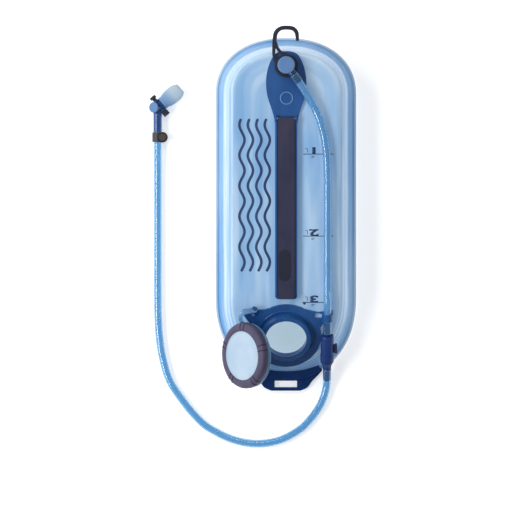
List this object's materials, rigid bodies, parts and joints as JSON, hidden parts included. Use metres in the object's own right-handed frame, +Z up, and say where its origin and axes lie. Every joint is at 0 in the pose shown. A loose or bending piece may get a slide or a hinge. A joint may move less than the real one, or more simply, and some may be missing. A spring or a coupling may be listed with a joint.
{
  "type": "hydration bladder",
  "caption": "Translucent moulded hydration bladder with wide screw-cap filler port, drying hook, lift-out hanger arm, quick-release drink hose and bite valve.",
  "frame": {"origin": "on the table under the middle of the reservoir, hook and tab; the hose and bite valve are left out of that middle", "axes": "+Y along the reservoir towards the drying hook, +Z up out of its front face, +X right seen from the front"},
  "size_m": [0.2601, 0.5267, 0.0944],
  "materials": {
    "film_clear": "glossy translucent film",
    "film_back": "satin translucent film",
    "port_blue": "semi-gloss moulded",
    "tab_blue": "semi-gloss moulded",
    "spine_blue": "soft satin moulded",
    "hook_charcoal": "satin moulded",
    "arm_charcoal": "satin moulded",
    "grip_rubber": "matt ribbed rubber",
    "elbow_navy": "glossy moulded",
    "cover_blue": "satin moulded",
    "steel": "ground",
    "seal_black": "smooth rubber",
    "tether_clear": "translucent soft plastic",
    "cap_blue": "semi-gloss moulded",
    "cap_grip": "matt soft-touch",
    "cap_face": "satin pale disc",
    "silicone": "smooth silicone",
    "hose_clear": "glossy translucent tube",
    "coupling_navy": "satin moulded",
    "button_navy": "satin moulded",
    "clip_grey": "satin moulded",
    "magnet_brown": "satin moulded",
    "adapter_blue": "glossy translucent moulded",
    "valve_silicone": "smooth translucent silicone"
  },
  "bodies": {
    "reservoir": {"back_film": "film_back", "front_film": "film_clear", "hang_tab": "tab_blue", "spine_plate": "spine_blue", "outlet_spout": "film_clear", "outlet_oring": "seal_black", "outlet_elbow": "elbow_navy", "elbow_cap": "cover_blue", "arm_hinge_pin": "steel", "port_frame": "port_blue", "port_collar": "port_blue", "hose_loop": "port_blue", "tether_pin": "port_blue", "upper_hose": "hose_clear", "coupling_body": "coupling_navy", "poppet_spring": "steel", "button_spring": "steel", "drink_hose": "hose_clear", "bite_adapter": "adapter_blue"},
    "hook": {"drying_hook": "hook_charcoal"},
    "arm": {"hanger_arm": "arm_charcoal", "thumb_grip": "grip_rubber"},
    "tether": {"tether_strap": "tether_clear"},
    "tether_ring": {"tether_ring": "tether_clear"},
    "cap": {"cap_body": "cap_blue", "cap_grip": "cap_grip", "cap_face": "cap_face", "cap_gasket": "silicone"},
    "poppet": {"check_poppet": "silicone"},
    "button": {"release_button": "button_navy"},
    "insert": {"male_insert": "coupling_navy", "insert_oring": "seal_black", "hose_end": "hose_clear"},
    "clip": {"hose_clip": "clip_grey", "clip_magnet": "magnet_brown"},
    "bite": {"bite_elbow": "elbow_navy", "bite_cover": "cover_blue", "bite_valve": "valve_silicone"},
    "shutoff": {"shutoff_slider": "hook_charcoal"}
  },
  "joints": [
    {"name": "hook_swivel", "type": "hinge", "parent": "reservoir", "child": "hook", "pos_m": [0, 0.178, 0.0598], "axis": [0, 0, 1], "range_deg": [-90, 90]},
    {"name": "arm_lift", "type": "hinge", "parent": "reservoir", "child": "arm", "pos_m": [0, 0.112, 0.0601], "axis": [-1, 0, 0], "range_deg": [0, 110]},
    {"name": "tether_swing", "type": "hinge", "parent": "reservoir", "child": "tether", "pos_m": [-0.03969, -0.1259, 0.05364], "axis": [0.0518, 0.5378, 0.8415], "range_deg": [0, 62.4]},
    {"name": "cap_seat", "type": "slide", "parent": "tether", "child": "tether_ring", "axis": [0.7573, 0.0354, -0.6522], "range_m": [0, 0.006]},
    {"name": "cap_twist", "type": "hinge", "parent": "tether_ring", "child": "cap", "pos_m": [-0.04805, -0.18221, 0.05848], "axis": [-0.7573, -0.0354, 0.6522], "continuous": true},
    {"name": "button_press", "type": "slide", "parent": "reservoir", "child": "button", "axis": [-1, 0, 0], "range_m": [0, 0.0012], "stiffness_N_per_m": 600, "deforming": ["button_spring"]},
    {"name": "hose_unplug", "type": "slide", "parent": "reservoir", "child": "insert", "axis": [0, -0.8829, -0.4695], "range_m": [0, 0.02], "deforming": ["drink_hose"]},
    {"name": "poppet_close", "type": "slide", "parent": "reservoir", "child": "poppet", "axis": [0, -0.8829, -0.4695], "range_m": [0, 0.002], "deforming": ["poppet_spring"]},
    {"name": "clip_slide", "type": "slide", "parent": "reservoir", "child": "clip", "axis": [0, -0.9986, -0.0523], "range_m": [0, 0.03]},
    {"name": "bite_swivel", "type": "hinge", "parent": "reservoir", "child": "bite", "pos_m": [-0.161, 0.12247, 0.00931], "axis": [0, 0.9986, 0.0523], "range_deg": [-80, 0]},
    {"name": "shutoff_slide", "type": "slide", "parent": "bite", "child": "shutoff", "axis": [0.6428, -0.766, 0], "range_m": [0, 0.003]}
  ],
  "couplings": [
    {"joint": "poppet_close", "follows": "hose_unplug", "ratio": 0.1}
  ]
}
